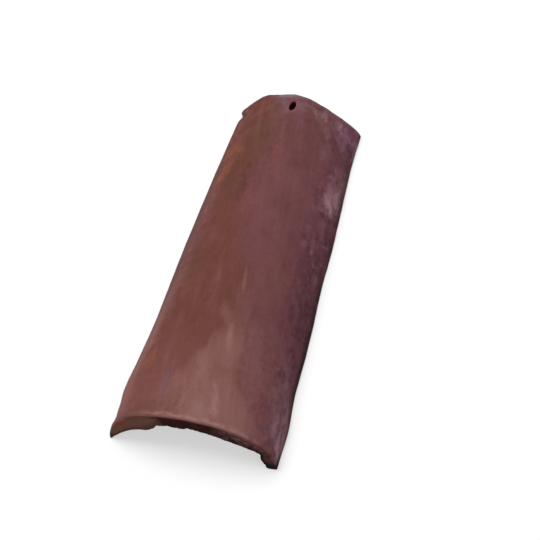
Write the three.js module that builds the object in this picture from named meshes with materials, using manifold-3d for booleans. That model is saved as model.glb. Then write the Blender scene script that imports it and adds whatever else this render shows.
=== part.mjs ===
// Barrel roof tile of fired clay: a tapered arch, wide and high at the tail, narrow and low at the
// head, with an oblong nail hole through its crown near the head.
// Units are millimetres and +Z is up. The tile stands on its two long edges, on the plane z = 0.
// X runs across the tile, and +Y runs along its crown, from the tail at y = 0 to the head.
// The mesh is then moved so that the origin lies under the middle of the tile.
import * as THREE from "three";
import { mergeVertices } from "three/addons/utils/BufferGeometryUtils.js";
import Module from "manifold-3d";

// Driving dimensions of the arch. Its section is a piece of an ellipse.
const LENGTH = 460; // tail to head
const TAIL_WIDTH = 190; // across the long edges
const TAIL_RISE = 74; // height of the crown
const TAIL_CENTRE_DROP = 2; // how far the middle of the ellipse lies under the long edges
const HEAD_WIDTH = 152;
const HEAD_RISE = 58;
const HEAD_CENTRE_DROP = 50;

// Thickness of the clay, which thins from the crown towards the long edges.
const CROWN_WALL = 17;
const EDGE_WALL = 13;
const THINNING_POWER = 3; // the higher it is, the nearer to the edges the wall thins
const EDGE_RADIUS = 3.2; // rounding of the four corners of the section
const END_RADIUS = 2.4; // rounding of the two ends

// Nail hole, an oblong along the tile.
const NAIL_HOLE_WIDTH = 8;
const NAIL_HOLE_LENGTH = 14;
const NAIL_HOLE_SETBACK = 18.5; // from the head's end to the middle of the hole
const NAIL_HOLE_OFFSET = 2; // how far it lies to the right of the crown's line

// Places across the arch are shares: 0 at the crown, -1 at the left long edge and 1 at the right.
// Thick shoulder of clay inside the tail, on the left.
const SHOULDER_EXTRA = 8; // how much thicker it makes the wall
const SHOULDER_LENGTH = 80; // how far it runs up the tile before it has faded out
const SHOULDER_MIDDLE = -0.47;
const SHOULDER_SPREAD = 0.42; // from its middle to where it has faded out

// Spall on the underside of the tail, from the shoulder's steep right side to the right foot.
const SPALL_LEFT = -0.3;
const SPALL_LEFT_FLARE = 0.13; // how much wider it is at its mouth
const SPALL_RIGHT = 0.72;
const SPALL_RIGHT_FLARE = 0.03;
const SPALL_THICK_LIP = 17; // clay that is left over it, at the crown
const SPALL_THIN_LIP = 8.5; // clay that is left over it, beside the right foot
const SPALL_THINS_FROM = 0.36;
const SPALL_THINS_TO = 0.68;
const SPALL_LENGTH = 24; // how far it reaches up the tile
const SPALL_TAPER = 0.06; // how much each side draws in over that length

// Shallow nick in the head's left flank, behind a beak of clay.
const NICK_SETBACK = 6; // length of the beak
const NICK_LENGTH = 24;
const NICK_DEEPEST = 14; // from its head side to where it is deepest
const NICK_DEPTH = 5; // how far it bites into the long edge
const NICK_TOP = -0.58; // where it runs out on the flank

// Number of steps.
const ACROSS_STEPS = 64;
const ALONG_STEPS = 16;
const ROUND_STEPS = 3;
const HOLE_STEPS = 10;
const SPALL_STEPS = 36;
const SPALL_ROWS = 8;
const NICK_STEPS = 6;
const CLEARANCE = 5; // how far a cutting solid reaches beyond the clay

const mix = THREE.MathUtils.lerp;
const { clamp, smoothstep } = THREE.MathUtils;
const wasm = await Module();
wasm.setup();

// The ellipse of the arch at a place along the tile: its centre's height and its two half-axes.
function arch(along) {
  const share = along / LENGTH;
  const halfWidth = mix(TAIL_WIDTH, HEAD_WIDTH, share) / 2;
  const drop = mix(TAIL_CENTRE_DROP, HEAD_CENTRE_DROP, share);
  const halfHeight = mix(TAIL_RISE, HEAD_RISE, share) + drop;
  return { centre: -drop, halfHeight, halfSpan: halfWidth / Math.sqrt(1 - (drop / halfHeight) ** 2) };
}

// A point of the clay: its share across the arch, its depth below the outer face and its place along
// the tile. At every depth the share reaches 1 just where the ellipse meets the plane z = 0.
function clayPoint(across, depth, along) {
  const { centre, halfHeight, halfSpan } = arch(along);
  const angle = across * Math.acos(-centre / (halfHeight - depth));
  const x = (halfSpan - depth) * Math.sin(angle);
  const z = centre + (halfHeight - depth) * Math.cos(angle);
  return new THREE.Vector3(x, along, z);
}

// Length of half the arch, from its crown to a long edge.
function halfGirth(along) {
  const { centre, halfHeight, halfSpan } = arch(along);
  return Math.acos(-centre / halfHeight) * (halfHeight + halfSpan) / 2;
}

// Smooth hump that is 1 in its middle and 0 from its spread outwards.
function hump(value, middle, spread) {
  return (1 + Math.cos(Math.PI * clamp((value - middle) / spread, -1, 1))) / 2;
}

function wallAt(across, along) {
  const shoulder = hump(across, SHOULDER_MIDDLE, SHOULDER_SPREAD) * hump(along, 0, SHOULDER_LENGTH);
  return mix(CROWN_WALL, EDGE_WALL, Math.abs(across) ** THINNING_POWER) + SHOULDER_EXTRA * shoulder;
}

// Joins rings of points, all with the same even number of them, into a closed body. Each end is
// capped by strips between the first half of its ring and the second half.
function skin(rings) {
  const count = rings[0].length;
  const positions = rings.flat().flatMap((point) => point.toArray());
  const triangles = [];
  const quad = (a, b, c, d) => triangles.push(a, c, b, a, d, c);
  for (let row = 0; row < rings.length - 1; row++) {
    for (let i = 0; i < count; i++) {
      const next = (i + 1) % count;
      quad(row * count + i, row * count + next, (row + 1) * count + next, (row + 1) * count + i);
    }
  }
  const last = (rings.length - 1) * count;
  for (let i = 0; i < count / 2 - 1; i++) {
    const mirrored = count - 1 - i;
    quad(mirrored, mirrored - 1, i + 1, i);
    quad(last + i, last + i + 1, last + mirrored - 1, last + mirrored);
  }
  const geometry = new THREE.BufferGeometry();
  geometry.setAttribute("position", new THREE.Float32BufferAttribute(positions, 3));
  geometry.setIndex(triangles);
  return geometry;
}

function toSolid(geometry) {
  const bare = geometry.clone();
  bare.deleteAttribute("normal");
  bare.deleteAttribute("uv");
  const merged = mergeVertices(bare);
  return new wasm.Manifold(new wasm.Mesh({
    numProp: 3,
    vertProperties: merged.attributes.position.array,
    triVerts: new Uint32Array(merged.index.array),
  }));
}

function toGeometry(solid) {
  const mesh = solid.getMesh();
  const geometry = new THREE.BufferGeometry();
  geometry.setAttribute("position", new THREE.BufferAttribute(mesh.vertProperties, 3));
  geometry.setIndex(new THREE.BufferAttribute(mesh.triVerts, 1));
  geometry.computeVertexNormals();
  return geometry;
}

// One ring round the section. The inset draws it in from the outer face, the inner face and the two
// long edges, with its four corners kept round.
function sectionRing(along, inset) {
  const girth = halfGirth(along);
  const flat = girth - EDGE_RADIUS;
  const reach = EDGE_RADIUS - inset;
  const ring = [];
  // The wall's share is 0 on the outer face and 1 on the inner face.
  const put = (distance, wallShare, offset) => {
    const across = distance / girth;
    ring.push(clayPoint(across, wallShare * wallAt(across, along) + offset, along));
  };
  const corner = (side, wallShare, fromAngle) => {
    const middle = wallShare === 0 ? EDGE_RADIUS : -EDGE_RADIUS;
    for (let i = 0; i <= ROUND_STEPS; i++) {
      const angle = fromAngle + i / ROUND_STEPS * Math.PI / 2;
      put(side * flat + reach * Math.cos(angle), wallShare, middle - reach * Math.sin(angle));
    }
  };
  const face = (side, wallShare) => {
    const offset = wallShare === 0 ? inset : -inset;
    for (let i = 1; i < ACROSS_STEPS; i++) {
      put(side * flat * (2 * i / ACROSS_STEPS - 1), wallShare, offset);
    }
  };
  corner(1, 0, 0);
  face(-1, 0);
  corner(-1, 0, Math.PI / 2);
  corner(-1, 1, Math.PI);
  face(1, 1);
  corner(1, 1, Math.PI * 3 / 2);
  return ring;
}

// The arch before anything is cut: rings from the tail to the head, drawn in at both ends.
function archSolid() {
  const roundedEnd = [];
  for (let i = 0; i < ROUND_STEPS; i++) {
    const angle = i / ROUND_STEPS * Math.PI / 2;
    roundedEnd.push([END_RADIUS * (1 - Math.cos(angle)), END_RADIUS * (1 - Math.sin(angle))]);
  }
  const rings = roundedEnd.map(([along, inset]) => sectionRing(along, inset));
  for (let i = 0; i <= ALONG_STEPS; i++) {
    rings.push(sectionRing(mix(END_RADIUS, LENGTH - END_RADIUS, i / ALONG_STEPS), 0));
  }
  roundedEnd.reverse().forEach(([along, inset]) => rings.push(sectionRing(LENGTH - along, inset)));
  return toSolid(skin(rings));
}

// Upright oblong peg that cuts the nail hole.
function nailHoleSolid() {
  const radius = NAIL_HOLE_WIDTH / 2;
  const middle = LENGTH - NAIL_HOLE_SETBACK;
  const reach = NAIL_HOLE_LENGTH / 2 - radius;
  const outline = new THREE.Shape();
  outline.absarc(NAIL_HOLE_OFFSET, middle + reach, radius, 0, Math.PI, false);
  outline.absarc(NAIL_HOLE_OFFSET, middle - reach, radius, Math.PI, Math.PI * 2, false);
  const peg = new THREE.ExtrudeGeometry(outline, {
    depth: TAIL_RISE + CLEARANCE,
    bevelEnabled: false,
    curveSegments: HOLE_STEPS,
  });
  return toSolid(peg);
}

// Bent bar that cuts the spall. Its top follows the arch under the lip, and slants down until it
// leaves the clay.
function spallSolid() {
  const deepest = CROWN_WALL + SHOULDER_EXTRA;
  const ring = (along, share) => {
    const top = [];
    const mouth = [];
    const taper = share * SPALL_TAPER;
    for (let i = 0; i <= SPALL_STEPS; i++) {
      const step = i / SPALL_STEPS;
      const across = mix(SPALL_LEFT + taper, SPALL_RIGHT - taper, step);
      const thinned = smoothstep(across, SPALL_THINS_FROM, SPALL_THINS_TO);
      const lip = mix(SPALL_THICK_LIP, SPALL_THIN_LIP, thinned);
      const flared = across + mix(-SPALL_LEFT_FLARE, SPALL_RIGHT_FLARE, step);
      top.push(clayPoint(across, mix(lip, deepest, share), along));
      mouth.push(clayPoint(flared, deepest + CLEARANCE, along));
    }
    return [...top.reverse(), ...mouth];
  };
  const rings = [ring(-CLEARANCE, 0)];
  for (let row = 0; row <= SPALL_ROWS; row++) {
    rings.push(ring(SPALL_LENGTH * row / SPALL_ROWS, row / SPALL_ROWS));
  }
  return toSolid(skin(rings));
}

// Thin wedge that cuts the nick, lying on the flank. It is deepest at the long edge.
function nickSolid() {
  const bottom = -1 - (1 + NICK_TOP) / NICK_STEPS;
  const ring = (fromHead, depth) => {
    const outside = [];
    const inside = [];
    for (let i = 0; i <= NICK_STEPS; i++) {
      const share = i / NICK_STEPS;
      const across = mix(bottom, NICK_TOP, share);
      outside.push(clayPoint(across, -CLEARANCE, LENGTH - fromHead));
      inside.push(clayPoint(across, mix(depth, 0, share), LENGTH - fromHead));
    }
    return [...outside.reverse(), ...inside];
  };
  return toSolid(skin([
    ring(NICK_SETBACK + NICK_LENGTH, 0),
    ring(NICK_SETBACK + NICK_DEEPEST, NICK_DEPTH),
    ring(NICK_SETBACK, 0),
  ]));
}

const clay = new THREE.MeshStandardMaterial({ color: 0x70473f, roughness: 0.85, metalness: 0 });
clay.name = "clay";

const cutters = [nailHoleSolid(), spallSolid(), nickSolid()];
const solid = cutters.reduce((body, cutter) => body.subtract(cutter), archSolid());
const tile = new THREE.Mesh(toGeometry(solid), clay);
tile.name = "barrel_tile";
tile.position.y = -LENGTH / 2;

const group = new THREE.Group();
group.add(tile);

export default group;
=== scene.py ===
"""A tapered barrel roof tile of fired clay, lying on a pale floor.

The tile's skin is worked out as one closed surface: a block of cells, across, along and through the
clay, is rounded, chipped and then bent into the arch. Its colours are layers of tint, each laid by its
own share.
"""
import math
from types import SimpleNamespace

import bpy
import numpy as np
from mathutils import Matrix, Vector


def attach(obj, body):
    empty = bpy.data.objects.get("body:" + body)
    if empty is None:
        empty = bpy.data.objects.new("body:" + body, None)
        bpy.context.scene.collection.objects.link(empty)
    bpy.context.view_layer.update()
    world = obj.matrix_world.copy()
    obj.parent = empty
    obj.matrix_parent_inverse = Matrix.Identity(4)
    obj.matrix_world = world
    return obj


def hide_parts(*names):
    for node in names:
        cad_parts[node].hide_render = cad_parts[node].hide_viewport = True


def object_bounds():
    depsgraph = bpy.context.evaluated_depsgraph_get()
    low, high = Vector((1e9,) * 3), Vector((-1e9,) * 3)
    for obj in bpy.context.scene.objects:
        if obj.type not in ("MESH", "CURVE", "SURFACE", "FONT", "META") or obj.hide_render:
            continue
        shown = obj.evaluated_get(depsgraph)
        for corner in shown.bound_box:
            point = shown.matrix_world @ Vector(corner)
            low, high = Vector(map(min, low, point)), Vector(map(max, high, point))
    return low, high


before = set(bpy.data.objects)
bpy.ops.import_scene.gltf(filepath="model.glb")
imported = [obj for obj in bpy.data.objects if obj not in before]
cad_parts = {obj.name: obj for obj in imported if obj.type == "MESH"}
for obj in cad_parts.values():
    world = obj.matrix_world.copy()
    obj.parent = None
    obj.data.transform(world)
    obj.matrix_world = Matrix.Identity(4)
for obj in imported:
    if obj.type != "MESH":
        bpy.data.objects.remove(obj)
cad_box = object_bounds()

# Shapes are worked out in millimetres. Places across are shares: -1 at the left long edge, 0 at the
# crown, 1 at the right long edge. Places along run from the tail at 0 to the head at LENGTH, and depths
# and shares through the clay from the outer face at 0 inwards.
METRES = 0.001

# The arch, with the sizes of the solid tile.
LENGTH = 460.0
TAIL_WIDTH, TAIL_RISE, TAIL_DROP = 190.0, 74.0, 2.0
HEAD_WIDTH, HEAD_RISE, HEAD_DROP = 152.0, 58.0, 50.0
CROWN_WALL, EDGE_WALL = 17.0, 13.0
SHOULDER_EXTRA, SHOULDER_MIDDLE, SHOULDER_SPREAD, SHOULDER_LENGTH = 8.0, -0.47, 0.42, 80.0
SKIN_INSET = 0.1  # the worn face lies this far inside the solid's

# The spall under the tail's lip opens and closes between these shares. Its torn wall runs out into the
# plain one this far up the tile, and the broken wall beside it further up.
SPALL_OPENS, SPALL_CLOSES = (-0.38, -0.28), (0.72, 0.76)
SPALL_REACH, BREAK_REACH = 24.0, 55.0

# The nail hole.
HOLE_ACROSS, HOLE_ALONG = 1.9, 441.6
HOLE_HALF_WIDTH, HOLE_HALF_LENGTH = 4.1, 7.1
HOLE_SLANT = 0.1  # its head end lies this much to the right, in radians
HOLE_RIM = 0.9  # radius of its softened upper rim
HOLE_FADE = 2.6  # cells within this many times the hole's size are drawn round its oval

# Worn edges: their usual radius, and the least and the greatest. The roughness of the end faces fades
# out this far up the faces beside them, and that of the feet this far above the floor.
EDGE_RADIUS, SHARPEST, BLUNTEST = 2.2, 0.8, 7.5
END_REACH, FOOT_REACH = 9.0, 9.0
BOX_MARGIN = 2.5  # the flanks are drawn in where they come this near to the solid's box

# The hand-made bend of the arch: how far up each end's own shape reaches, and the crest and the groove
# that the smoothing stick has rolled along the tail's lip.
FORM_REACH = 110.0
ROLL_CREST, ROLL_GROOVE, ROLL_SPREAD = 3.0, 8.0, 2.6

# Chips along each arris: how many, and their least and greatest size. The foot behind the head's left
# corner is broken off in two bites: (beyond the left edge, along, depth) and radii.
TAIL_CHIPS, HEAD_CHIPS, EDGE_CHIPS = (26, 1.2, 3), (22, 1.2, 3.2), (26, 1.4, 3.4)
BROKEN_FOOT = (((1, 457, -3), (16, 12, 9)), ((2, 448, -3), (33, 11.5, 7)))

# Cells of the block, and where its lines lie through the clay. Crowds of finer cells are given as (place,
# reach, strength): at the edges and ends, round the nail hole and at the spall's two sides.
CELLS_ACROSS, CELLS_ALONG = 164, 246
THROUGH = np.array([0, .03, .075, .14, .25, .42, .6, .77, .88, .94, .98, 1])
CROWDS_ACROSS = ((-1, .03, 4), (1, .03, 4), (.014, .05, .8), (-.38, .1, .7), (.72, .05, .9))
CROWDS_ALONG = ((0, 3, 6), (8, 22, 1.4), (LENGTH, 3, 5), (HOLE_ALONG, 13, 1.5))

# Knots of (place, millimetres): the wall's thickness across the tail's end, and how far the hand-made arch
# lies outside the true one, across either end and along either long edge.
TAIL_WALL = ((-1, 3), (-.95, 5.6), (-.9, 8.6), (-.82, 13.4), (-.73, 18), (-.65, 20.8), (-.56, 25.2),
             (-.49, 28.6), (-.43, 28.2), (-.385, 26.6), (-.33, 23), (-.3, 20.4), (-.22, 19), (-.15, 20),
             (-.05, 19.1), (.02, 17.8), (.12, 17.8), (.225, 19.8), (.33, 20.8), (.43, 20), (.48, 19.1),
             (.53, 17.8), (.575, 16.2), (.625, 14.5), (.664, 11.7), (.71, 10.2), (.745, 10.8), (.78, 13.2),
             (.84, 14), (.92, 13), (1, 12))
TAIL_FORM = ((-1, 0), (-.93, -.8), (-.84, -.1), (-.75, .8), (-.42, 1.7), (-.14, -1.2), (.12, -1.3),
             (.4, .8), (.56, 1.6), (.8, .4), (1, 0))
HEAD_FORM = ((-1, -1), (-.92, .8), (-.83, 2.4), (-.74, 1.5), (-.6, 1.6), (-.5, 2.4), (-.4, 3.9),
             (-.33, 4.1), (-.25, 2.8), (-.15, 2), (-.05, 3.2), (.08, 4.2), (.17, 3.2), (.25, 1.5),
             (.35, -.2), (.45, -1.9), (.55, -2.6), (.65, -1.5), (.75, -.2), (.82, 1.6), (.9, 3),
             (.95, 3.4), (1, 2.8))
RIGHT_EDGE = ((0, -.2), (24, .9), (44, 2.6), (60, 1.3), (95, -.1), (120, .6), (156, .9), (192, 1),
              (216, .2), (240, -.1), (264, .6), (300, 1.4), (336, .8), (360, 1.1), (384, -.1),
              (420, -1.6), (444, -1.1), (460, -.8))
LEFT_EDGE = ((0, .3), (12, -1), (24, .2), (36, 1.2), (50, 3), (62, 3.1), (75, 2.6), (90, 2), (108, 1.4),
             (130, .7), (165, .6), (190, 1.2), (215, 1.8), (280, 2), (320, 1.7), (350, 1.4), (380, 1),
             (408, .4), (432, -.9), (446, -1.5), (460, -1.6))

# Stains and scuffs as (colour, (across, along), (half across, half along), strength), in millimetres.
# All lean to the left, towards the head, by the same angle in radians. Those as thin as a scratch keep
# clean edges.
MARK_TURN = 0.15
SCRATCH = 4.0
MARKS = (
    ((124, 74, 70), (44, 200), (14, 60), .4),
    ((98, 54, 62), (82, 215), (24, 75), .45),
    ((96, 64, 46), (-37, 385), (14, 48), .5),
    ((88, 58, 40), (-52, 335), (16, 24), .5),
    ((94, 62, 46), (-36, 312), (13, 24), .45),
    ((104, 70, 52), (-63, 212), (13, 32), .45),
    ((122, 66, 52), (-80, 372), (22, 46), .4),
    ((150, 84, 46), (-68, 379), (19, 12), .75),
    ((146, 80, 44), (-73, 348), (18, 12), .75),
    ((142, 74, 62), (2, 362), (6, 30), .22),
    ((96, 56, 56), (24, 372), (9, 20), .35),
    ((150, 92, 64), (-68, 78), (8, 12), .4),
    ((132, 96, 108), (-32, 48), (7, 24), .38),
    ((146, 108, 82), (13.5, 186), (2.6, 20), .45),
    ((98, 64, 50), (-22, 400), (17, 46), .55),
    ((100, 62, 52), (1, 404), (20, 26), .5),
    ((124, 84, 98), (25, 155), (4, 22), .25),
    ((166, 122, 114), (17.5, 110), (4, 22), .5),
    ((146, 108, 116), (8, 440), (20, 13), .5),
    ((162, 120, 122), (41, 445), (14, 11), .75),
    ((142, 110, 116), (68, 446), (9, 14), .4),
    ((152, 106, 132), (84, 438), (11, 24), .65),
    ((140, 92, 118), (98, 446), (9, 20), .5),
    ((104, 78, 66), (88, 398), (8, 10), .5),
    ((70, 36, 42), (92, 384), (8, 9), .5),
    ((110, 62, 63), (-46, 447), (12, 10), .5),
    ((118, 88, 80), (-27, 446), (9, 9), .45),
    ((174, 122, 132), (84, 347), (16, 22), .7),
    ((152, 108, 114), (90, 374), (12, 17), .5),
    ((208, 168, 176), (92, 335), (12, 12), .7),
    ((196, 152, 160), (80, 341), (10, 10), .6),
    ((184, 140, 150), (90, 354), (8, 12), .5),
    ((88, 44, 58), (76, 322), (9, 12), .5),
    ((150, 108, 114), (84, 304), (6, 11), .45),
    ((146, 104, 110), (79, 272), (4, 13), .4),
    ((150, 108, 112), (48, 96), (20, 50), .3),
    ((190, 148, 152), (95, 33), (8, 15), .8),
    ((150, 108, 114), (87, 50), (5, 12), .5),
    ((174, 128, 138), (108, 60), (7, 18), .65),
    ((140, 90, 102), (92, 24), (16, 18), .6),
    ((190, 146, 158), (110, 17), (8, 24), .7),
    ((134, 100, 88), (97, 3), (8, 6), .6),
    ((84, 40, 34), (97, -6), (9, 6), .75),
    ((116, 50, 60), (84, 10), (9, 8), .5),
    ((74, 52, 48), (-112, -2), (10, 9), .7),
    ((152, 112, 108), (8, 14), (12, 24), .5),
    ((110, 70, 64), (-16, 14), (10, 14), .4),
    ((104, 64, 60), (-52, 10), (26, 14), .4),
    ((206, 164, 170), (110, 12), (9, 10), .7),
    ((96, 46, 52), (104, 230), (12, 50), .4),
    ((142, 98, 94), (63, 402), (12, 14), .4),
    ((100, 62, 58), (-66, 440), (14, 20), .5),
    ((96, 54, 50), (-20, 338), (16, 24), .3),
    ((88, 46, 54), (106, 165), (14, 30), .45),
    ((160, 122, 132), (116, 46), (8, 12), .5),
    ((156, 106, 104), (52, 430), (15, 11), .5),
    ((168, 130, 138), (102, 429), (10, 15), .6),
    ((176, 134, 142), (103, 368), (9, 18), .6),
    ((186, 146, 158), (121, 26), (7, 20), .6),
    ((126, 76, 64), (20, 66), (14, 14), .35),
    ((160, 112, 106), (-6, 64), (9, 22), .35),
    ((146, 98, 106), (92, 100), (20, 20), .38),
    ((112, 70, 62), (-28, 12), (20, 12), .3),
    ((150, 112, 122), (98, 66), (15, 52), .42),
    ((176, 148, 150), (74, 451), (7, 8), .5),
    ((160, 124, 132), (93, 431), (9, 10), .45),
    ((84, 48, 30), (-57, 366), (9, 14), .35),
    ((112, 66, 60), (-12, 66), (9, 24), .45),
    ((112, 68, 62), (-20, 28), (12, 13), .4),
    ((176, 134, 132), (22, 31), (5, 20), .4),
    ((76, 36, 32), (-28, 322), (9, 26), .36),
    ((150, 96, 108), (70, 337), (7, 14), .4),
    ((184, 144, 154), (99, 346), (8, 18), .5),
    ((104, 62, 56), (-64, 260), (12, 18), .35),
    ((146, 100, 94), (6, 142), (9, 16), .4),
    ((90, 62, 60), (-11, 436), (9, 10), .45),
    ((154, 106, 118), (77, 352), (7, 12), .35),
    ((142, 110, 110), (109, 11), (7, 9), .35),
    ((112, 96, 106), (-13, 450), (13, 8), .5),
)

# Zones of colour end in ragged borders, because the places they go by stray this far to either side.
STRAY_ACROSS, STRAY_ALONG = 13.0, 30.0

# The floor's half side, in metres, and the strength of the even light round it.
FLOOR_HALF, SKY_LIGHT = 4.0, 0.37


# ---- numbers ----

def ease(low, high, value):
    """0 below low, 1 above high, and an S-shaped cubic between them."""
    share = np.clip((value - low) / (high - low), 0, 1)
    return share * share * (3 - 2 * share)


def hump(value, middle, spread):
    """1 in the middle and 0 from the spread outwards, along a cosine."""
    return (1 + np.cos(np.pi * np.clip((value - middle) / spread, -1, 1))) / 2


def through_knots(value, knots):
    """Smooth curve through the knots: on each span a cubic, with slopes at the knots that suit the spans
    on either side."""
    place, height = np.array(knots, float).T
    slope = np.gradient(height, place)
    value = np.clip(value, place[0], place[-1])
    span = np.clip(np.searchsorted(place, value) - 1, 0, len(place) - 2)
    width = place[span + 1] - place[span]
    t = (value - place[span]) / width
    start = (2 * t ** 3 - 3 * t ** 2 + 1) * height[span] + (t ** 3 - 2 * t ** 2 + t) * width * slope[span]
    finish = (3 * t ** 2 - 2 * t ** 3) * height[span + 1] + (t ** 3 - t ** 2) * width * slope[span + 1]
    return start + finish


def lattice(x, y, z, seed):
    """A fixed number from -1 to 1 for each whole-number place: the place and the seed, multiplied by
    large odd numbers and mixed."""
    mixed = (x * 374761393 + y * 668265263 + z * 1440662683 + seed * 1274126177) & 0xFFFFFFFF
    mixed = ((mixed ^ (mixed >> 13)) * 1103515245) & 0xFFFFFFFF
    mixed = ((mixed ^ (mixed >> 15)) * 668265263) & 0xFFFFFFFF
    return ((mixed >> 8) & 0xFFFF) / 32767.5 - 1


def noise(seed, x, y, z=0.0):
    """Smooth noise from about -1 to 1: the eight lattice numbers round a place, blended by S-curves."""
    x, y, z = np.broadcast_arrays(np.asarray(x, float), y, z)
    ix, iy, iz = (np.floor(v).astype(np.int64) for v in (x, y, z))
    fx, fy, fz = (ease(0, 1, v - i) for v, i in ((x, ix), (y, iy), (z, iz)))
    total = 0
    for dx, wx in ((0, 1 - fx), (1, fx)):
        for dy, wy in ((0, 1 - fy), (1, fy)):
            for dz, wz in ((0, 1 - fz), (1, fz)):
                total = total + lattice(ix + dx, iy + dy, iz + dz, seed) * wx * wy * wz
    return total


def rough(seed, octaves, x, y, z=0.0):
    """Noise on noise: each octave has twice the detail and just over half the height of the one before."""
    return sum(.55 ** k * noise(seed + k, x * 2 ** k, y * 2 ** k, np.asarray(z) * 2 ** k)
               for k in range(octaves))


def grid_lines(cells, low, high, crowds):
    """Lines from low to high, closer round each crowd's place: evenly spread in the running total of
    1 + strength * exp(-((line - place) / reach) ** 2)."""
    fine = np.linspace(low, high, 6000)
    weight = 1 + sum(strength * np.exp(-((fine - place) / reach) ** 2) for place, reach, strength in crowds)
    total = np.concatenate([[0], np.cumsum((weight[1:] + weight[:-1]) / 2)])
    return np.interp(np.linspace(0, total[-1], cells + 1), total, fine)


def turned(x, y, angle):
    """The place (x, y) turned clockwise by the angle."""
    return x * math.cos(angle) + y * math.sin(angle), y * math.cos(angle) - x * math.sin(angle)


def fit_within(value, limit, margin):
    """Draws in what lies within the margin of the limit, on either side, along a hyperbolic tangent."""
    over = np.maximum(np.abs(value) - (limit - margin), 0)
    return np.sign(value) * (np.abs(value) - over + margin * np.tanh(over / margin))


# ---- the arch ----

def arch(along):
    """The section's ellipse: how far its centre lies under the floor line, its half height and half span."""
    share = along / LENGTH
    drop = TAIL_DROP + (HEAD_DROP - TAIL_DROP) * share
    half_height = TAIL_RISE + (HEAD_RISE - TAIL_RISE) * share + drop
    half_width = (TAIL_WIDTH + (HEAD_WIDTH - TAIL_WIDTH) * share) / 2
    return drop, half_height, half_width / np.sqrt(1 - (drop / half_height) ** 2)


def half_girth(along):
    """About the length of half the section: its angle times the mean of the ellipse's half-axes."""
    drop, half_height, half_span = arch(along)
    return np.arccos(drop / half_height) * (half_height + half_span) / 2


def bend(across, along, depth):
    """Bends a place in the clay into the arch: along an ellipse drawn in by the depth, at an angle in
    proportion to the share across, so that at every depth a share of 1 stands on the floor."""
    drop, half_height, half_span = arch(along)
    angle = across * np.arccos(drop / (half_height - depth))
    x, z = (half_span - depth) * np.sin(angle), (half_height - depth) * np.cos(angle) - drop
    return x, along - LENGTH / 2, z


def wall(across, along):
    """Thickness of the clay: the plain wall and the shoulder's hump, turning into the tail's own broken
    profile over a ragged run-out that is short over the spall and long beside it."""
    plain = CROWN_WALL + (EDGE_WALL - CROWN_WALL) * np.abs(across) ** 3
    shoulder = SHOULDER_EXTRA * hump(across, SHOULDER_MIDDLE, SHOULDER_SPREAD)
    spalled = ease(*SPALL_OPENS, across) * (1 - ease(*SPALL_CLOSES, across))
    ragged = rough(11, 3, across * 16, along / 9)
    run_out = BREAK_REACH + (SPALL_REACH - BREAK_REACH) * spalled + (3 + 4 * spalled) * ragged
    left = 1 - np.clip(along / run_out, 0, 1)
    left = left * (1 - spalled) * left + left * spalled
    body = plain + shoulder * hump(along, 0, SHOULDER_LENGTH)
    torn = .9 * rough(12, 3, across * 32, along / 12) * ease(-.5, -.35, across)
    return body + (through_knots(across, TAIL_WALL) + torn - plain - shoulder) * left


def form(across, along):
    """How far the hand-made arch lies outside the true one: its shape at the tail and at the head, each
    fading towards the middle, waves of the long edges, slow swells of the face and the rolled lip."""
    girth = across * half_girth(along)
    tail = through_knots(across, TAIL_FORM) * (1 - ease(0, FORM_REACH, along))
    head = through_knots(across, HEAD_FORM) * ease(LENGTH - FORM_REACH, LENGTH, along)
    right = through_knots(along, RIGHT_EDGE) * ease(.6, 1, across)
    left = through_knots(along, LEFT_EDGE) * ease(.4, .9, -across)
    swell = .45 * rough(21, 2, girth / 60, along / 110)
    rolled = along + 1.5 * noise(22, girth / 14, 0.0)
    crest, groove = (np.exp(-((rolled - place) / ROLL_SPREAD) ** 2) for place in (ROLL_CREST, ROLL_GROOVE))
    roll = (.4 * crest - .35 * groove) * (1 - ease(.2, .7, across)) * (1 - ease(.6, .85, -across))
    roll = roll * (.6 + .4 * noise(23, girth / 18, 0.0))
    return tail + head + right + left + (swell + roll) * (1 - np.abs(across) ** 6)


# ---- the skin of the block ----

def block_faces(filled):
    """Quads between every filled cell and an empty neighbour. A quad's corners are numbered as in the box
    of cell corners, and turn so that the arch, once bent, faces outwards."""
    padded = np.pad(filled, 1)
    number = np.arange(np.prod(np.array(filled.shape) + 1)).reshape(np.array(filled.shape) + 1)
    quads = []
    for axis, turn in ((0, 1), (1, -1), (2, 1)):
        cells = np.moveaxis(padded, axis, 0)[:, 1:-1, 1:-1]
        corner = np.moveaxis(number, axis, 0)
        square = np.stack([corner[:, :-1, :-1], corner[:, 1:, :-1],
                           corner[:, 1:, 1:], corner[:, :-1, 1:]], -1)
        before, after = cells[:-1], cells[1:]
        for shown, way in ((before & ~after, -turn), (~before & after, turn)):
            quads.append(square[shown][:, ::way])
    return np.concatenate(quads)


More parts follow.
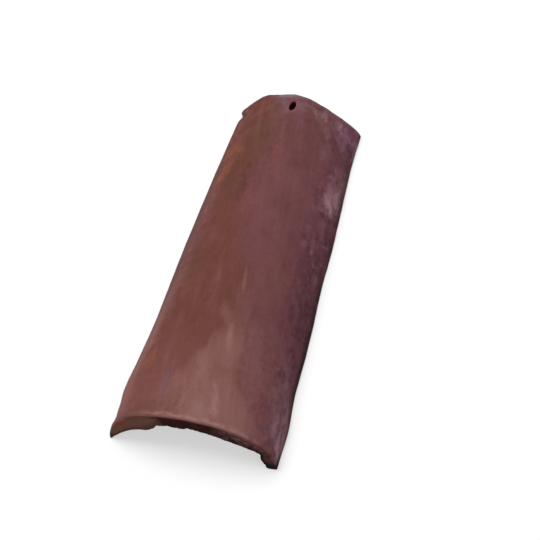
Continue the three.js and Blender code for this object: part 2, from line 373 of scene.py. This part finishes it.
def block():
    """The block of cells before it is shaped, without the nail hole's: its quads, each corner's share
    across, place along and share through the clay, and the hole's two sides and two ends."""
    across = grid_lines(CELLS_ACROSS, -1, 1, CROWDS_ACROSS)
    along = grid_lines(CELLS_ALONG, 0, LENGTH, CROWDS_ALONG)
    girth = half_girth(HOLE_ALONG)
    middle_across, middle_along = (across[1:] + across[:-1]) / 2 * girth, (along[1:] + along[:-1]) / 2
    columns = np.flatnonzero(np.abs(middle_across - HOLE_ACROSS) < HOLE_HALF_WIDTH)
    rows = np.flatnonzero(np.abs(middle_along - HOLE_ALONG) < HOLE_HALF_LENGTH)
    filled = np.ones((CELLS_ACROSS, CELLS_ALONG, len(THROUGH) - 1), bool)
    filled[columns[0]:columns[-1] + 1, rows[0]:rows[-1] + 1] = False
    used, quads = np.unique(block_faces(filled), return_inverse=True)
    i, j, k = np.unravel_index(used, np.array(filled.shape) + 1)
    sides, ends = across[[columns[0], columns[-1] + 1]] * girth, along[[rows[0], rows[-1] + 1]]
    return quads.reshape(-1, 4), across[i], along[j], THROUGH[k], sides, ends


def square_to_oval(sideways, lengthways, half, oval, slant, middle, fade):
    """Turns the rectangle of half sizes `half` into a slanted ellipse of half-axes `oval` round `middle`.
    Rectangles round it are changed less and less, and from `fade` times its size they stay as they are."""
    size = np.maximum(np.maximum(np.abs(sideways) / half[0], np.abs(lengthways) / half[1]), 1e-9)
    edge = sideways / size, lengthways / size
    reach = np.hypot(edge[0] / half[0], edge[1] / half[1])
    goal = turned(*(e / h / reach * o for e, h, o in zip(edge, half, oval)), slant)
    blend = 1 - ease(1, fade, size)
    return [e * size + (g + m - e) * blend for e, g, m in zip(edge, goal, middle)]


def open_hole(across, along, sides, ends):
    """Draws the cells round the nail hole's square opening into its slanted oval."""
    girth = half_girth(HOLE_ALONG)
    block_across, block_along = sides.mean(), ends.mean()
    sideways, lengthways = square_to_oval(
        across * girth - block_across, along - block_along, (np.ptp(sides) / 2, np.ptp(ends) / 2),
        (HOLE_HALF_WIDTH, HOLE_HALF_LENGTH), HOLE_SLANT,
        (HOLE_ACROSS - block_across, HOLE_ALONG - block_along), HOLE_FADE)
    return (sideways + block_across) / girth, lengthways + block_along


def soften(distances, radius):
    """Rounds the edges of a block, given how far a point is from each of its faces. Where a point is
    nearer than the radius to several faces, it is drawn in until it lies on a ball of that radius."""
    near = [np.maximum(radius - d, 0) for d in distances]
    length = np.sqrt(sum(v * v for v in near))
    keep = np.minimum(1, radius / np.maximum(length, 1e-9))
    return [d + v * (1 - keep) for d, v in zip(distances, near)]


def edge_radius(across, along, share):
    """Radius of the worn edges. It wanders a little, grows in two humps along the tail's lip, and shrinks
    at the lip's inner edge, at the tail's left corner and at both of the head's."""
    radius = EDGE_RADIUS + 1.1 * rough(31, 2, across * 9, along / 30, share * 2)
    lip = (1 - ease(6, 14, along)) * (1 - ease(.3, .6, share))
    radius = radius + (3.2 * hump(across, -.66, .3) + 4.5 * hump(across, .34, .42)) * lip
    inner_lip = ease(.5, .8, share) * (1 - ease(10, 30, along))
    tail_corner = ease(.8, .95, -across) * (1 - ease(8, 25, along))
    head_corners = ease(.5, .8, np.abs(across)) * ease(LENGTH - 30, LENGTH - 10, along)
    radius = radius * (1 - .45 * inner_lip) * (1 - .6 * tail_corner) * (1 - .5 * head_corners)
    return np.clip(radius, SHARPEST, BLUNTEST)


def worn_edges(across, along, share):
    """Rounds every edge of the block. From here on a place across is in millimetres from the crown.
    Returns the place across, the place along, the depth and the wall's thickness."""
    thickness = wall(across, along)
    girth, depth = half_girth(along), share * thickness
    left, right, tail, head, outer, inner = soften(
        [(1 + across) * girth, (1 - across) * girth, along, LENGTH - along, depth, thickness - depth],
        edge_radius(across, along, share))
    girthwise = np.where(across < 0, left - girth, girth - right)
    along = np.where(along < LENGTH / 2, tail, LENGTH - head)
    return girthwise, along, np.where(share < .5, outer, thickness - inner), thickness


def soft_rim(girthwise, along, depth, share, thickness):
    """Softens the nail hole's upper rim, by the same rounding as the edges."""
    sideways, lengthways = turned(girthwise - HOLE_ACROSS, along - HOLE_ALONG, -HOLE_SLANT)
    reach = np.hypot(sideways / HOLE_HALF_WIDTH, lengthways / HOLE_HALF_LENGTH)
    away = (reach - 1) * HOLE_HALF_WIDTH
    clear, sunk, _ = soften([np.maximum(away, 0), depth, thickness - depth], HOLE_RIM)
    depth = np.where((reach < 2) & (share < .5), sunk, depth)
    wider = np.where(reach < 1.05, 1 + np.maximum(clear - away, 0) / HOLE_HALF_WIDTH, 1)
    return HOLE_ACROSS + (girthwise - HOLE_ACROSS) * wider, HOLE_ALONG + (along - HOLE_ALONG) * wider, depth


def scoop(point, middle, radii, marks):
    """Takes a bite out of the block: points inside the ball, stretched to three radii, are pushed out
    along their own line from its middle to its surface. Marks what it has moved."""
    offset = [(p - m) / r for p, m, r in zip(point, middle, radii)]
    reach = np.sqrt(sum(o * o for o in offset))
    push = np.maximum(1 / np.maximum(reach, .05), 1)
    marks[:] = np.maximum(marks, ease(0, .4, (push - 1) * reach * min(radii)))
    return [m + o * push * r for m, o, r in zip(middle, offset, radii)]


def chips():
    """Bites along the arrises, as (middle, radii) in millimetres across, along and through the clay: the
    broken foot's, and then small ones along both ends and both long edges, drawn by a fixed seed."""
    rng = np.random.default_rng(7)
    tail, head = half_girth(0.0), half_girth(LENGTH)
    found = [((-head - beyond, place, depth), radii) for (beyond, place, depth), radii in BROKEN_FOOT]
    count, least, greatest = TAIL_CHIPS
    for _ in range(count):
        size = rng.uniform(least, greatest)
        middle = rng.uniform(-.95, .95) * tail, -size * .55, -size * .6
        found.append((middle, (size * 2.2, size, size)))
    count, least, greatest = HEAD_CHIPS
    for _ in range(count):
        size = rng.uniform(least, greatest)
        middle = rng.uniform(-.95, .95) * head, LENGTH + size * .6, -size * .6
        found.append((middle, (size * 2, size, size)))
    count, least, greatest = EDGE_CHIPS
    for side in (-1, 1):
        for _ in range(count):
            size, place = rng.uniform(least, greatest), rng.uniform(10, LENGTH - 10)
            middle = side * (half_girth(place) + size * .55), place, -size * .6
            found.append((middle, (size, size * 2.4, size)))
    return found


def face_relief(girthwise, along, share):
    """Low relief of the faces: how high the smoothing strokes and grain stand on the outer one, and how
    much deeper the skin lies for them and, inside, for a coarser roughness."""
    strokes = .2 * noise(41, girthwise / 11, along / 150) + .05 * noise(42, girthwise / 5, along / 60)
    strokes = strokes + .14 * rough(43, 3, girthwise / 14, along / 22)
    inside = .45 * rough(51, 3, girthwise / 16, along / 34) + .2 * noise(52, girthwise / 5, along / 60)
    return strokes, inside * share - strokes * (1 - share)


def rough_ends(across, girthwise, along, share):
    """Places along once the end faces are set back: the tail's unevenly, and hollowed over the spall, and
    the head's in a slight bow that is deeper to the left."""
    spalled = ease(-.28, -.22, across + .05 * share) * (1 - ease(.7, .75, across))
    hollow = spalled * np.sin(np.pi * share) * (2.4 + 1.6 * rough(62, 3, girthwise / 8, share * 2.2))
    set_back = .15 + .15 * rough(61, 3, girthwise / 11, share * 1.6) + hollow
    along = along + set_back * (1 - ease(0, END_REACH, along))
    bow = np.where(across < 0, 1.5, .5) * across * across
    set_back = .2 + .2 * rough(63, 3, girthwise / 12, share * 1.5) + bow
    return along - set_back * ease(LENGTH - END_REACH, LENGTH, along)


def tile_shape():
    """The tile's skin as corners in metres, quads, and what the clay's colours go by: the place in the
    unrolled tile in metres, the share through the wall, the end faces, the broken faces and the strokes."""
    quads, across, along, share, hole_sides, hole_ends = block()
    across, along = open_hole(across, along, hole_sides, hole_ends)
    girthwise, along, depth, thickness = worn_edges(across, along, share)
    girthwise, along, depth = soft_rim(girthwise, along, depth, share, thickness)
    broken = np.zeros(len(share))
    point = [girthwise, along, depth]
    for middle, radii in chips():
        point = scoop(point, middle, radii, broken)
    girthwise, along, depth = point

    across = girthwise / half_girth(np.clip(along, 0, LENGTH))
    strokes, relief = face_relief(girthwise, along, share)
    depth = depth + SKIN_INSET + relief - form(across, along)
    end = ease(.02, .12, share) * (1 - ease(.3, 2.2, along) * ease(.3, 2.2, LENGTH - along))
    along = rough_ends(across, girthwise, along, share)

    x, y, z = bend(across, along, depth)
    z = z + (.35 + .35 * rough(71, 2, x / 40, y / 26)) * (1 - ease(0, FOOT_REACH, z))
    low, high = (np.array(corner) / METRES for corner in cad_box)
    corners = np.clip(np.stack([fit_within(x, high[0], BOX_MARGIN), y, z], 1), low, high) * METRES
    unrolled = np.stack([girthwise, along, depth], 1) * METRES
    return corners, quads, {"unrolled": unrolled, "through": share, "end": end, "broken": broken,
                            "relief": strokes}


# ---- shader maths ----

class Wire:
    """A shader value. Arithmetic on it adds the Math nodes that work it out."""

    def __init__(self, bench, socket):
        self.bench = bench
        self.socket = socket

    def math(self, operation, *values):
        """The Math node of the operation, on values or shader values."""
        return self.bench.node("ShaderNodeMath", {"operation": operation}, dict(enumerate(values)))

    def __add__(self, other):
        return self.math("ADD", self, other)

    def __sub__(self, other):
        return self.math("SUBTRACT", self, other)

    def __rsub__(self, other):
        return self.math("SUBTRACT", other, self)

    def __mul__(self, other):
        return self.math("MULTIPLY", self, other)

    def __truediv__(self, other):
        return self.math("DIVIDE", self, other)

    def __rtruediv__(self, other):
        return self.math("DIVIDE", other, self)

    __radd__ = __add__
    __rmul__ = __mul__

    def rise(self, low, high):
        """0 below low, 1 above high and an S-curve between. It falls where low is the greater."""
        return self.bench.node("ShaderNodeMapRange", {"interpolation_type": "SMOOTHSTEP"},
                               {"Value": self, "From Min": low, "From Max": high})


class Bench:
    """Adds nodes to one material."""

    def __init__(self, name):
        self.material = bpy.data.materials.new(name)
        self.material.use_nodes = True
        self.tree = self.material.node_tree
        self.shader = self.tree.nodes["Principled BSDF"]

    def node(self, kind, settings=None, sockets=None, output=0):
        """Adds a node, makes its settings and then feeds its sockets. Gives the output asked for."""
        made = self.tree.nodes.new(kind)
        for name, value in (settings or {}).items():
            setattr(made, name, value)
        for name, value in (sockets or {}).items():
            self.feed(made.inputs[name], value)
        return Wire(self, made.outputs[output])

    def feed(self, socket, value):
        """Links a shader value to the socket, or sets a plain one there."""
        if isinstance(value, Wire):
            self.tree.links.new(value.socket, socket)
        else:
            socket.default_value = value

    def vector(self, operation, *values, output=0):
        """The Vector Math node of the operation, on vectors."""
        return self.node("ShaderNodeVectorMath", {"operation": operation}, dict(enumerate(values)), output)

    def reach(self, vector):
        """Length of a vector."""
        return self.vector("LENGTH", vector, output=1)

    def parts(self, vector):
        """The three parts of a vector, each a value."""
        split = self.node("ShaderNodeSeparateXYZ", sockets={0: vector})
        return [Wire(self, split.socket.node.outputs[k]) for k in range(3)]

    def mix(self, share, first, second):
        """Two colours mixed by the share of the second."""
        return self.node("ShaderNodeMix", {"data_type": "RGBA"}, {0: share, 6: first, 7: second}, output=2)

    def lay(self, under, *layers):
        """A colour with layers, each a share and a tint, laid over it in turn."""
        for share, tint in layers:
            under = self.mix(share, under, tint)
        return under

    def scaled(self, place, sizes, turn=0.0, middle=(0, 0, 0)):
        """The place seen from the middle, turned, and measured in units of the sizes."""
        return self.node("ShaderNodeMapping", {"vector_type": "TEXTURE"},
                         {"Vector": place, "Location": middle, "Rotation": (0, 0, turn), "Scale": sizes})

    def noise(self, place, detail, roughness, scale=1, output=0):
        """Noise at a place: one value, or from output 1 a colour of three that differ."""
        return self.node("ShaderNodeTexNoise", {"noise_dimensions": "3D"},
                         {"Vector": place, "Scale": scale, "Detail": detail, "Roughness": roughness}, output)


def clay(red, green, blue):
    """A colour given as it looks on a screen, from 0 to 255, turned into the linear one that shaders use."""
    return (*(((v / 255 + .055) / 1.055) ** 2.4 for v in (red, green, blue)), 1)


# ---- the fired clay, layer by layer ----

def find_places(bench):
    """What the layers go by: places in space and on the unrolled skin, in millimetres, true ones and ones
    that wander a little so that no zone ends in a line, the mesh's own values, and noises in common."""
    at = SimpleNamespace()
    to_millimetres = (1 / METRES,) * 3
    at.grain = bench.vector("MULTIPLY", bench.node("ShaderNodeTexCoord", output=3), to_millimetres)
    at.skin = bench.node("ShaderNodeAttribute", {"attribute_name": "unrolled"}, output=1)
    at.skin = bench.vector("MULTIPLY", at.skin, to_millimetres)
    at.relief, at.through, at.end, at.broken = (
        bench.node("ShaderNodeAttribute", {"attribute_name": name}, output=2)
        for name in ("relief", "through", "end", "broken"))
    at.wander = bench.noise(bench.scaled(at.skin, (24, 60, 30)), 4, .6, output=1)
    at.wander = bench.vector("MULTIPLY_ADD", at.wander, (2 * STRAY_ACROSS, 2 * STRAY_ALONG, 0), at.skin)
    at.wander = bench.vector("SUBTRACT", at.wander, (STRAY_ACROSS, STRAY_ALONG, 0))

    # Shares across, by a half girth that narrows evenly from the tail to the head.
    tail_half, head_half = float(half_girth(0.0)), float(half_girth(LENGTH))
    narrowing = (tail_half - head_half) / LENGTH
    at.across, at.along, _ = bench.parts(at.wander)
    true_across, at.true_along, _ = bench.parts(at.skin)
    at.share = at.across / (tail_half - at.along * narrowing)
    at.true_share = true_across / (tail_half - at.true_along * narrowing)

    at.streaks = bench.noise(bench.scaled(at.skin, (11, 120, 30), .15), 2, .5)
    at.fine_streaks = bench.noise(bench.scaled(at.skin, (3.2, 30, 12), .08), 1, .5)
    at.blotches = bench.noise(bench.scaled(at.grain, (20, 30, 20)), 5, .62)
    at.flecks = bench.noise(bench.scaled(at.grain, (6, 8, 6)), 2, .6)
    at.beads = bench.noise(bench.scaled(at.skin, (9, 5, 40)), 2, .5)
    at.grit = bench.noise(at.grain, 5, .75, scale=.5).rise(.3, .72)
    at.right = at.share.rise(-.3, .3)
    return at


def lay_body(bench, at, under):
    """Brown to the left of a line that slants over the crown, and mauve to its right."""
    mauve = at.share + at.along.rise(60, 330) * .55 + at.streaks * .5 - .6
    return bench.lay(
        under,
        (mauve.rise(-.16, .16), clay(119, 71, 75)),
        (at.share.rise(-.5, -.8) * .7, clay(126, 74, 65)),
        (at.share.rise(.4, .8) * .7, clay(116, 66, 79)),
        (at.blotches.rise(.5, .72) * .5, clay(104, 58, 50)),
        (at.blotches.rise(.5, .28) * .5, clay(128, 80, 80)))


def lay_plume(bench, at, under):
    """Paler over the tail's end, and a pale plume up the lower crown, which narrows as it rises."""
    waist, foot = at.along.rise(140, 50), at.along.rise(65, 25)
    plume = (at.across - 20 + waist * 14 - foot * 12) / (10 + waist * 12 + foot * 22)
    plume = (plume * plume).rise(2.4, 0) * at.along.rise(180, 80)
    return bench.lay(
        under,
        (at.along.rise(170, 10) * .5, clay(136, 84, 81)),
        (plume * (.42 + .3 * at.streaks.rise(.3, .7)), clay(154, 109, 102)))


def lay_marks(bench, at, under):
    """Stains and scuffs, all turned alike. Scratches run straight, and the others have ragged outlines."""
    ragged = (at.flecks - .5) * 1.8
    straight, loose = (bench.scaled(place, (1, 1, 1), MARK_TURN) for place in (at.skin, at.wander))
    for tint, middle, sizes, strength in MARKS:
        (x, y), (half_x, half_y) = turned(*middle, MARK_TURN), sizes
        scratch = min(sizes) <= SCRATCH
        spot = bench.reach(bench.vector("MULTIPLY_ADD", straight if scratch else loose,
                                        (1 / half_x, 1 / half_y, 0), (-x / half_x, -y / half_y, 0)))
        if not scratch:
            spot = spot + ragged
        under = bench.mix(spot.rise(1.25, .2) * strength, under, clay(*tint))
    return under


def lay_grain(bench, at, under):
    """Long streaks and the clay's speckle, both dark and pale, and the pale crests of the smoothing
    strokes."""
    speckle = bench.noise(at.grain, 4, .65, scale=.4)
    return bench.lay(
        under,
        (at.streaks.rise(.52, .75) * .28, clay(98, 56, 50)),
        (at.streaks.rise(.48, .25) * .24, clay(138, 90, 87)),
        (at.fine_streaks.rise(.54, .8) * .1, clay(90, 50, 46)),
        (at.fine_streaks.rise(.46, .2) * .1, clay(146, 98, 94)),
        (speckle.rise(.55, .75) * .22, clay(82, 44, 40)),
        (speckle.rise(.45, .25) * .2, clay(156, 110, 104)),
        (at.relief.rise(.05, .35) * .1, clay(150, 104, 98)))


def lay_mottles(bench, at, under):
    """Mottles, strongest along the flanks and round the head: warm and broad to the left, mauve and drawn
    out to the right."""
    right = at.right
    broad, drawn_out = (bench.noise(bench.scaled(at.skin, sizes, .1), 4, .6, output=1)
                        for sizes in ((24, 13, 60), (12, 18, 60)))
    tinted, darkened, paled = bench.parts(bench.mix(right, broad, drawn_out))
    flank = (at.share * at.share).rise(.1, .55) * (.4 + .35 * right)
    flank = flank + at.true_along.rise(395, 440) * .25 + .15
    pale = .25 + .25 * (at.along.rise(180, 240) + at.along.rise(110, 60))
    return bench.lay(
        under,
        (tinted.rise(.48, .66) * flank * .55, bench.mix(right, clay(144, 80, 62), clay(122, 70, 96))),
        (darkened.rise(.5, .68) * flank * .6, bench.mix(right, clay(82, 52, 38), clay(74, 38, 48))),
        (paled.rise(.5, .78) * flank * pale, bench.mix(right, clay(166, 100, 98), clay(166, 124, 136))))


def lay_flecks(bench, at, under):
    """Pale and dark flecks, in patches down the right flank and all along the left one."""
    patches = bench.noise(bench.scaled(at.skin, (16, 34, 30)), 2, .5).rise(.46, .62)
    patches = patches * at.share.rise(.5, .8) * (at.along.rise(190, 230) + at.along.rise(90, 60))
    patches = patches + at.share.rise(-.5, -.75)
    pale = bench.mix(at.right, clay(170, 108, 86), clay(160, 116, 124))
    dark = bench.mix(at.right, clay(82, 50, 42), clay(60, 30, 38))
    return bench.lay(
        under,
        (at.flecks.rise(.49, .66) * patches * .42, pale),
        (at.flecks.rise(.47, .32) * patches * .4, dark))


def lay_long_edges(bench, at, under):
    """Painted shade along the right edge, and dust along the left one, which is grey at its foot."""
    # Painted shade along the right long edge, where the flank turns away from the light.
    edge = .35 + .4 * at.true_along.rise(230, 150) + .2 * at.blotches.rise(.3, .6)
    edge = edge * at.true_share.rise(.85, .94)
    edge = edge * at.true_along.rise(430, 380) * (.1 + .9 * at.true_along.rise(30, 110))
    foot = at.share * .5 + at.true_share * .5 + at.blotches * .3 - .15
    dust = foot.rise(-.5, -.8) * at.along.rise(420, 300) * (.28 + .42 * at.flecks.rise(.58, .42))
    return bench.lay(
        under,
        (edge, clay(44, 24, 29)),
        (dust, bench.mix(at.along.rise(220, 130), clay(118, 82, 88), clay(160, 122, 122))),
        (foot.rise(-.66, -.92) * at.true_along.rise(5, 14) * .6, clay(86, 60, 62)))


def lay_arrises(bench, at, under):
    """The tail's arris, with a pale band of wear and painted highlight, and painted shade as it turns into
    the end; and the head's, grey where it is worn."""
    share, true_share, true_along = at.share, at.true_share, at.true_along
    over_spall = share.rise(-.35, -.2)
    # A pale band of wear and painted highlight along the tail's arris, where the rounded edge catches the
    # light.
    wear_and_highlight = true_along.rise(2, 4.5) * true_along.rise(10, 4.5)
    wear_and_highlight = wear_and_highlight * true_share.rise(-.6, -.12) * share.rise(.85, .2)
    # Painted shade where the arris turns down into the end face.
    turning_shade = true_along.rise(4 + 5 * share.rise(.6, .9), 0)
    turning_shade = turning_shade * (.1 + .55 * over_spall - .3 * true_share.rise(.76, .86))
    rubbed = true_along.rise(451, 457) * true_share.rise(-.35, -.15)
    rubbed = rubbed * (.3 * true_share.rise(.9, .7) + .7 * true_share.rise(.14, .02))
    return bench.lay(
        under,
        (wear_and_highlight * at.beads.rise(.3, .65) * .5, clay(178, 138, 134)),
        (turning_shade, bench.mix(share.rise(.35, .7), clay(92, 60, 54), clay(60, 34, 33))),
        (true_along.rise(16, 4) * (1 - over_spall) * .25, clay(96, 62, 54)),
        (rubbed * (.35 + .35 * at.beads.rise(.3, .6)), clay(142, 122, 134)))


def lay_ends(bench, at, under):
    """The end faces. The tail's shows, from left to right, the plain shoulder, the dark core under the spall,
    deepened with painted shade under the overhanging lip, its torn lip and the dark foot; the lower part of
    each face is darkened with painted shade."""
    grit, through = at.grit, at.through
    torn = bench.noise(bench.scaled(at.grain, (7, 7, 5)), 2, .6)
    bands = at.true_share + at.blotches * .06 + through * .05
    # The dark core bared by the spall, deepened with painted shade under the overhanging lip.
    core_and_shade = (bands + torn * .14 - through * .08).rise(-.23, -.12)
    lip = bands.rise(.24, .42)
    head = bench.mix(grit, clay(126, 78, 66), clay(100, 60, 51))
    face = bench.lay(
        bench.mix(grit, clay(130, 84, 72), clay(118, 79, 64)),
        (through.rise(.4, .1) * .4, clay(104, 62, 50)),
        (core_and_shade, bench.mix(grit, clay(76, 16, 7), clay(42, 8, 4))),
        (lip, bench.mix(grit, clay(146, 98, 94), clay(108, 72, 68))),
        (lip * torn.rise(.43, .56) * (.4 + .55 * through), clay(46, 20, 20)),
        (bands.rise(.7, .77), bench.mix(grit, clay(102, 56, 56), clay(78, 44, 43))),
        # Painted shade towards the lower, inner edge of the end faces.
        (through.rise(.5, .85) * (.5 + .12 * lip), clay(36, 22, 21)),
        (at.true_along.rise(220, 240), head))
    return bench.lay(under, (at.end * (through + at.blotches * .1 - .05).rise(0, .14), face))


def lay_inside(bench, at, under):
    """The sandy hollow, the broken places, and painted shade inside the nail hole."""
    sand = bench.noise(at.grain, 4, .7, scale=.9).rise(.3, .7)
    # The nail hole's walls, darkened red with painted shade.
    hole_shade = bench.reach(bench.scaled(at.skin, (9, 12, 1000), middle=(HOLE_ACROSS, HOLE_ALONG, 0)))
    return bench.lay(
        under,
        (at.through.rise(.9, .99) * (1 - at.end), bench.mix(sand, clay(108, 70, 58), clay(142, 100, 84))),
        (at.broken * .5, bench.mix(at.grit, clay(124, 78, 64), clay(96, 58, 50))),
        (hole_shade.rise(1.1, .9) * at.through.rise(.06, .2) * .95, clay(84, 10, 10)))


def lay_scorch_and_foot_shade(bench, at, under):
    """A red scorch at the tail's left corner, and painted shade inside its right foot and round both feet
    near the floor.
    """
    scorch = bench.reach(bench.scaled(at.skin, (10, 1000, 7), middle=(-84, 0, 4)))
    # Painted shade in the hollow of the right foot by the tail.
    foot_hollow_shade = at.through.rise(.5, .95) * at.share.rise(.6, .7) * at.true_along.rise(16, 2)
    height = bench.parts(at.grain)[2]
    # Painted shade near the floor round both of the tail's feet.
    on_face = height.rise(15, 4) * at.share.rise(.7, .8) * at.true_along.rise(26, 2)
    on_end = at.end * height.rise(18, 8) * at.true_share.rise(.66, .76) * at.true_along.rise(40, 20)
    on_left = height.rise(16, 9) * at.true_along.rise(14, 4) * at.true_share.rise(-.72, -.86) * .75
    foot_shade = 1 - (1 - on_face) * (1 - on_end) + on_left
    return bench.lay(
        under,
        (scorch.rise(1.1, .3) * at.true_along.rise(9, 4) * .6, clay(146, 58, 46)),
        (foot_hollow_shade * .9, clay(16, 8, 9)),
        (foot_shade * .9, clay(26, 16, 16)))


def fired_clay():
    """Clay of one firing: brown to the left and mauve to the right, paler over the lower crown, drawn into
    long streaks, scuffed and stained in places, dark in the spall and sandy inside, with painted shade in the
    spall, round the feet, along the right edge and in the nail hole, and a painted highlight along the tail's
    arris."""
    bench = Bench("fired_clay")
    at = find_places(bench)
    colour = clay(111, 63, 54)
    for lay in (lay_body, lay_plume, lay_marks, lay_grain, lay_mottles, lay_flecks, lay_long_edges,
                lay_arrises, lay_ends, lay_inside, lay_scorch_and_foot_shade):
        colour = lay(bench, at, colour)
    bench.feed(bench.shader.inputs["Base Color"], colour)
    bench.feed(bench.shader.inputs["Roughness"], .74 + .2 * at.blotches)
    bench.feed(bench.shader.inputs["Specular IOR Level"], .2)
    pits = bench.noise(at.grain, 4, .65, scale=1.1) * .5 + at.fine_streaks * .15
    bench.feed(bench.shader.inputs["Normal"], bench.node(
        "ShaderNodeBump", sockets={"Height": pits, "Distance": .0006, "Strength": .5}))
    return bench.material


# ---- pieces ----

def put_mesh(name, corners, quads, material, attributes):
    """A smooth mesh object at the origin from whole arrays of corners and quads."""
    mesh = bpy.data.meshes.new(name)
    mesh.from_pydata(corners.tolist(), [], quads.tolist())
    for title, values in attributes.items():
        kind, field = ("FLOAT", "value") if values.ndim == 1 else ("FLOAT_VECTOR", "vector")
        mesh.attributes.new(title, kind, "POINT").data.foreach_set(field, values.astype(np.float32).ravel())
    mesh.polygons.foreach_set("use_smooth", np.ones(len(quads), bool))
    mesh.materials.append(material)
    mesh.update()
    made = bpy.data.objects.new(name, mesh)
    bpy.context.scene.collection.objects.link(made)
    return made


def make_tile():
    """The tile in fired clay, which stands in for the plain solid one."""
    corners, quads, attributes = tile_shape()
    tile = put_mesh("fired_tile", corners, quads, fired_clay(), attributes)
    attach(tile, "root")
    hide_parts("barrel_tile")


def make_floor():
    """A large pale square. The camera sees it a little brighter than it lights the tile."""
    bench = Bench("pale_floor")
    bench.feed(bench.shader.inputs["Base Color"], (.52, .52, .52, 1))
    bench.feed(bench.shader.inputs["Roughness"], 1)
    bench.feed(bench.shader.inputs["Specular IOR Level"], 0)
    seen = bench.node("ShaderNodeLightPath", output=0)
    glow = bench.node("ShaderNodeEmission", sockets={"Strength": seen * .55})
    both = bench.node("ShaderNodeAddShader", sockets={0: Wire(bench, bench.shader.outputs[0]), 1: glow})
    bench.feed(bench.tree.nodes["Material Output"].inputs["Surface"], both)
    side = np.linspace(-FLOOR_HALF, FLOOR_HALF, 5)
    x, y = np.meshgrid(side, side, indexing="ij")
    corner = np.arange(x.size).reshape(x.shape)
    quads = np.stack([corner[:-1, :-1], corner[1:, :-1], corner[1:, 1:], corner[:-1, 1:]], -1).reshape(-1, 4)
    corners = np.stack([x.ravel(), y.ravel(), np.zeros(x.size)], 1)
    floor = put_mesh("floor", corners, quads, bench.material, {})


# ---- camera and light ----

def make_camera():
    """Looks down on the tile from in front of its tail, turned a little to the right and leaning."""
    turn, height, lean = (math.radians(v) for v in (21.9852, 55.1071, 8.5977))
    distance = 1.99239
    aim = np.array([.02638, .00303, .02507])
    back = np.array([math.sin(turn) * math.cos(height), -math.cos(turn) * math.cos(height), math.sin(height)])
    level = np.array([math.cos(turn), math.sin(turn), 0])
    upright = np.cross(back, level)
    right = math.cos(lean) * level - math.sin(lean) * upright
    up = math.sin(lean) * level + math.cos(lean) * upright
    data = bpy.data.cameras.new("camera")
    data.lens = 117.59
    data.sensor_width = 36
    camera = bpy.data.objects.new("camera", data)
    placed = np.eye(4)
    placed[:3] = np.stack([right, up, back, aim + back * distance], 1)
    camera.matrix_world = Matrix(placed.tolist())
    bpy.context.scene.collection.objects.link(camera)
    bpy.context.scene.camera = camera


def make_sun(name, turn, height, strength, softness):
    """A sun that shines from the given turn, anticlockwise from +X, and height, in degrees."""
    turn, height = math.radians(turn), math.radians(height)
    data = bpy.data.lights.new(name, "SUN")
    data.energy = strength
    data.angle = math.radians(softness)
    sun = bpy.data.objects.new(name, data)
    sun.rotation_euler = (0, math.pi / 2 - height, turn)
    bpy.context.scene.collection.objects.link(sun)


def make_sky():
    """White for the camera, and an even grey light for everything else."""
    world = bpy.data.worlds.new("studio")
    world.use_nodes = True
    tree = world.node_tree
    seen = tree.nodes.new("ShaderNodeLightPath")
    level = tree.nodes.new("ShaderNodeMapRange")
    level.inputs["To Min"].default_value = SKY_LIGHT
    tree.links.new(seen.outputs["Is Camera Ray"], level.inputs["Value"])
    tree.links.new(level.outputs[0], tree.nodes["Background"].inputs["Strength"])
    tree.nodes["Background"].inputs["Color"].default_value = (1, 1, 1, 1)
    bpy.context.scene.world = world


make_camera()
make_tile()
make_floor()
make_sun("key", turn=162, height=68, strength=1.9, softness=40)
make_sky()
bpy.context.scene.view_settings.view_transform = "Standard"
